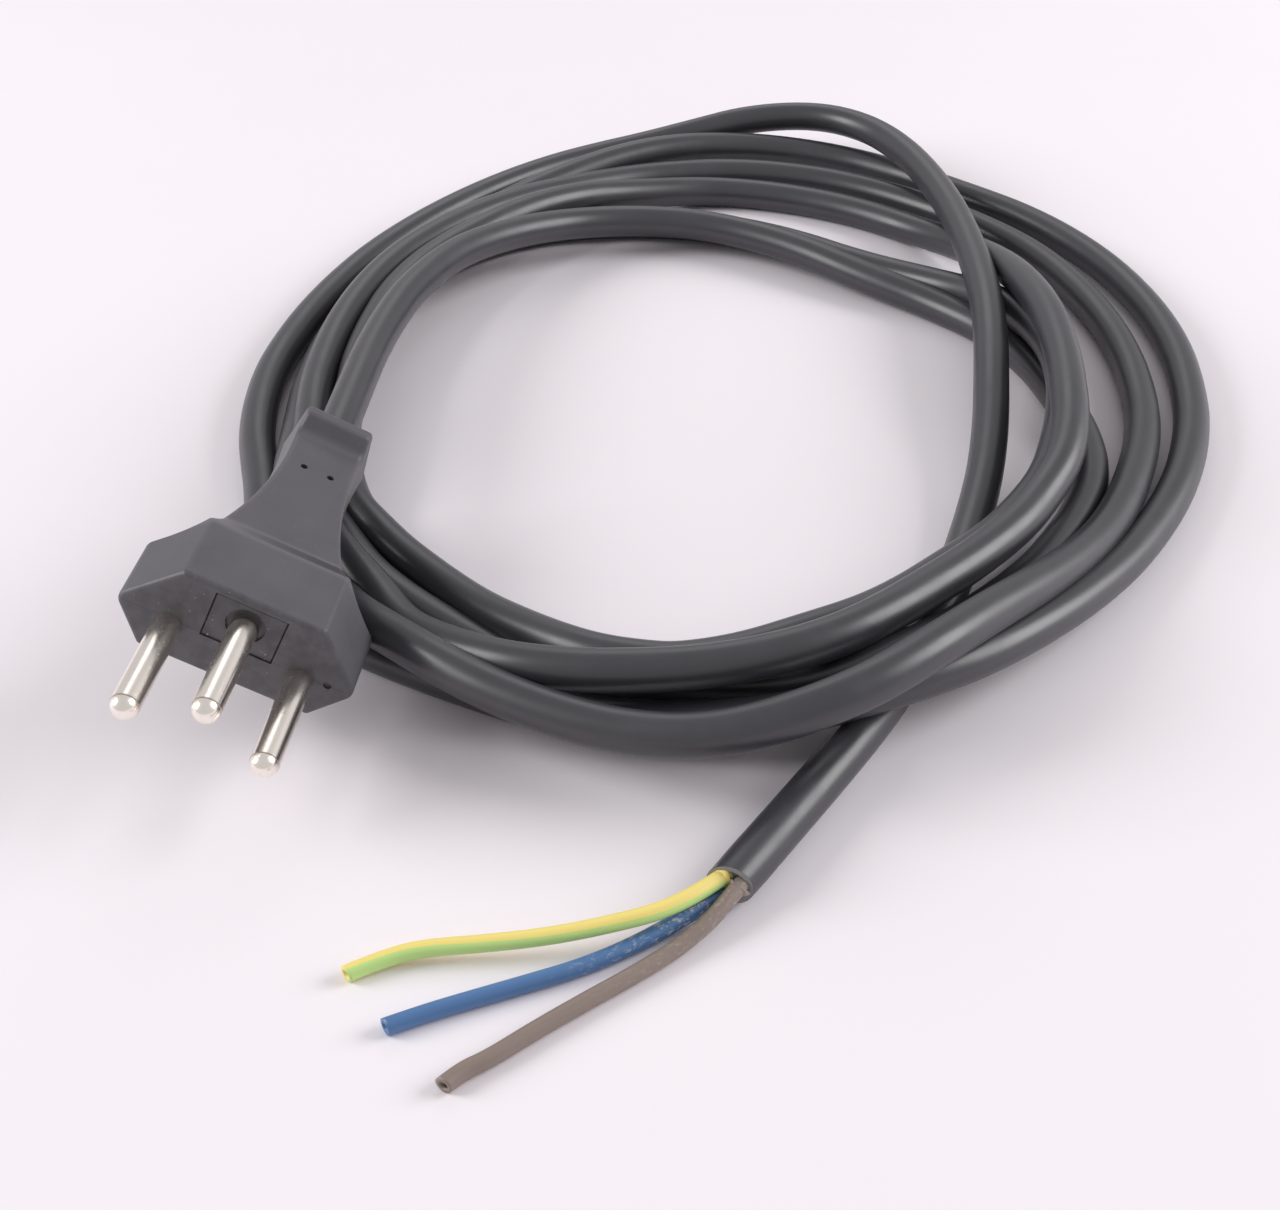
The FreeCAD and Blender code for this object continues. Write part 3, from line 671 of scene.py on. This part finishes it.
class PLUG_OT_cores(bpy.types.Operator):
    """Lays the three bare cores and their copper strands at the cut end"""
    bl_idname = "plug.cores"
    bl_label = "Lay the cores"

    def execute(self, context):
        sizes = context.scene.lead_sizes
        colours = context.scene.plug_colours
        finishes = {
            "earth": striped_finish("earth_insulation", colours.yellow, colours.green),
            "neutral": core_finish("neutral_insulation", colours.blue, 0.9),
            "line": core_finish("line_insulation", colours.brown, 0.25),
        }
        routes = {"earth": EARTH_ROUTE, "neutral": NEUTRAL_ROUTE, "line": LINE_ROUTE}
        copper = copper_finish(colours.copper)
        last, end = above_floor(TO_CUT_END[-2:])
        along = (end - last).normalized()
        up = Vector((0.0, 0.0, 1.0))
        aside = up.cross(along)
        for role, route in routes.items():
            angle = math.radians(CORE_PLACES[role])
            middle = end + (aside * math.cos(angle) + up * math.sin(angle)) * sizes.core_circle
            start = [middle - along * sizes.strip_depth, middle]
            points = pushed_out(start + above_floor(route), FLOOR_HEIGHT + sizes.core / 2)
            core = route_curve(role + "_insulation", points, CORE_STEPS)
            path = centreline(core)
            self.hollow(core, sizes, path[-1])
            paint(core, finishes[role])
            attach(core, BODY)
            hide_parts(role + "_core")
            back = (points[-2] - points[-1]).normalized() * sizes.strand_recess
            strands = route_curve(role + "_strands", points[:-1] + [points[-1] + back], CORE_STEPS)
            self.bundle(strands, sizes)
            paint(strands, copper)
            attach(strands, BODY)
            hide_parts(role + "_conductor")
        return {"FINISHED"}

    def hollow(self, core, sizes, end):
        """A tube with a wall as thick as the insulation and a slanted cut."""
        round_tube(core, sizes.core, CORE_SIDES, False)
        slant_end(core, end, sizes.core, sizes.core_slant)
        wall = core.modifiers.new("wall", "SOLIDIFY")
        wall.thickness = (sizes.core - sizes.conductor) / 2
        wall.offset = -1.0
        wall.use_rim = True
        bpy.ops.object.modifier_apply(modifier=wall.name)

    def bundle(self, strands, sizes):
        """A rod with the lobed section of seven strands laid together."""
        strand = sizes.conductor / 3
        outline = bpy.data.curves.new("strand_section", "CURVE")
        outline.dimensions = "2D"
        loop = outline.splines.new("POLY")
        loop.points.add(STRAND_OUTLINE_POINTS - 1)
        for step, point in enumerate(loop.points):
            angle = step / STRAND_OUTLINE_POINTS * math.tau
            reach = strand + strand / 2 * abs(math.cos(angle * 3))
            point.co = (reach * math.cos(angle), reach * math.sin(angle), 0.0, 1.0)
        loop.use_cyclic_u = True
        section = bpy.data.objects.new("strand_section", outline)
        bpy.context.collection.objects.link(section)
        strands.data.bevel_mode = "OBJECT"
        strands.data.bevel_object = section
        strands.data.use_fill_caps = True
        take(strands)
        bpy.ops.object.convert(target="MESH")
        bpy.ops.object.shade_smooth_by_angle(angle=STRAND_SMOOTHING)
        bpy.data.objects.remove(section)


class PLUG_OT_housing(bpy.types.Operator):
    """Gives the moulded housing and the pin carrier their charcoal finish"""
    bl_idname = "plug.housing"
    bl_label = "Finish the housing"

    def execute(self, context):
        colour = context.scene.plug_colours.housing
        paint_node("plug_body", housing_finish("housing_charcoal", colour))
        paint_node("pin_carrier", housing_finish("carrier_charcoal", scaled(colour, 0.9)))
        return {"FINISHED"}


class PLUG_OT_pins(bpy.types.Operator):
    """Gives the three pins their bright nickel"""
    bl_idname = "plug.pins"
    bl_label = "Finish the pins"

    def execute(self, context):
        nickel = pin_finish(context.scene.plug_colours.pin)
        for node in ("line_pin", "neutral_pin", "earth_pin"):
            paint_node(node, nickel)
        return {"FINISHED"}


class PLUG_OT_inner_cores(bpy.types.Operator):
    """Gives the cores inside the housing their colours"""
    bl_idname = "plug.inner_cores"
    bl_label = "Finish the inner cores"

    def execute(self, context):
        colours = context.scene.plug_colours
        copper = copper_finish(colours.copper)
        tones = {"line": colours.brown, "neutral": colours.blue, "earth": colours.yellow}
        for role, tone in tones.items():
            paint_node("inner_" + role + "_core", core_finish("inner_" + role, tone, 0.0))
            paint_node("inner_" + role + "_conductor", copper)
        return {"FINISHED"}


class PLUG_OT_stage(bpy.types.Operator):
    """Sets the camera, the pale surface and the soft studio light"""
    bl_idname = "plug.stage"
    bl_label = "Set the stage"

    def execute(self, context):
        scene = context.scene
        self.camera(scene)
        self.surface(scene.plug_colours.floor)
        self.world(scene)
        for softbox in SOFTBOXES:
            self.softbox(*softbox)
        scene.view_settings.view_transform = "Standard"
        return {"FINISHED"}

    def camera(self, scene):
        data = bpy.data.cameras.new("camera")
        data.sensor_width = SENSOR_WIDTH
        data.lens = FOCAL_PIXELS / PHOTO_WIDTH * SENSOR_WIDTH
        data.clip_start = NEAREST_SEEN
        eye = bpy.data.objects.new("camera", data)
        eye.location = CAMERA_PLACE
        eye.rotation_euler = CAMERA_TURN
        scene.collection.objects.link(eye)
        scene.camera = eye

    def surface(self, colour):
        clear_selection()
        bpy.ops.mesh.primitive_plane_add(size=SURFACE_WIDTH, location=(0.0, 0.0, FLOOR_HEIGHT))
        floor = bpy.context.object
        floor.name = "pale_surface"
        graph = Graph("pale_surface", colour, 0.75)
        place = graph.coordinates()
        cloud = graph.noise(place, SURFACE_CLOUD, 3.0)
        graph.drive("Base Color", graph.blend(cloud, scaled(colour, 0.985), scaled(colour, 1.015)))
        paint(floor, graph.material)

    def world(self, scene):
        """Dim even light, which the camera and bright surfaces see as a pale backdrop."""
        world = bpy.data.worlds.new("studio")
        world.use_nodes = True
        tree = world.node_tree
        path = tree.nodes.new("ShaderNodeLightPath")
        seen = tree.nodes.new("ShaderNodeMath")
        seen.operation = "MAXIMUM"
        strength = tree.nodes.new("ShaderNodeMath")
        strength.operation = "MULTIPLY_ADD"
        strength.inputs[1].default_value = BACKDROP_LEVEL - WORLD_LEVEL
        strength.inputs[2].default_value = WORLD_LEVEL
        tree.links.new(path.outputs["Is Camera Ray"], seen.inputs[0])
        tree.links.new(path.outputs["Is Glossy Ray"], seen.inputs[1])
        tree.links.new(seen.outputs[0], strength.inputs[0])
        background = tree.nodes["Background"]
        background.inputs["Color"].default_value = WORLD_COLOUR
        tree.links.new(strength.outputs[0], background.inputs["Strength"])
        scene.world = world

    def softbox(self, name, place, target, size, power):
        data = bpy.data.lights.new(name, "AREA")
        data.shape = "DISK"
        data.size = size
        data.energy = power
        lamp = bpy.data.objects.new(name, data)
        lamp.location = place
        lamp.rotation_euler = (Vector(target) - Vector(place)).to_track_quat("-Z", "Y").to_euler()
        bpy.context.scene.collection.objects.link(lamp)


STEPS = (PLUG_OT_stage, PLUG_OT_lead, PLUG_OT_cores, PLUG_OT_housing, PLUG_OT_pins, PLUG_OT_inner_cores)


class VIEW3D_PT_plug(bpy.types.Panel):
    """Lists the sizes, the colours and the steps."""
    bl_idname = "VIEW3D_PT_plug"
    bl_label = "Plug"
    bl_space_type = "VIEW_3D"
    bl_region_type = "UI"
    bl_category = "Plug"

    def draw(self, context):
        layout = self.layout
        for group in (context.scene.lead_sizes, context.scene.plug_colours):
            box = layout.box()
            for name in group.__annotations__:
                box.prop(group, name)
        for step in STEPS:
            layout.operator(step.bl_idname)


CLASSES = (LeadSizes, PlugColours, *STEPS, VIEW3D_PT_plug)


def register():
    for each in CLASSES:
        bpy.utils.register_class(each)
    bpy.types.Scene.lead_sizes = bpy.props.PointerProperty(type=LeadSizes)
    bpy.types.Scene.plug_colours = bpy.props.PointerProperty(type=PlugColours)


def unregister():
    del bpy.types.Scene.plug_colours
    del bpy.types.Scene.lead_sizes
    for each in reversed(CLASSES):
        bpy.utils.unregister_class(each)


def main():
    register()
    clear_selection()
    bpy.ops.plug.stage()
    bpy.ops.plug.lead()
    bpy.ops.plug.cores()
    bpy.ops.plug.housing()
    bpy.ops.plug.pins()
    bpy.ops.plug.inner_cores()


if __name__ == "__main__":
    main()
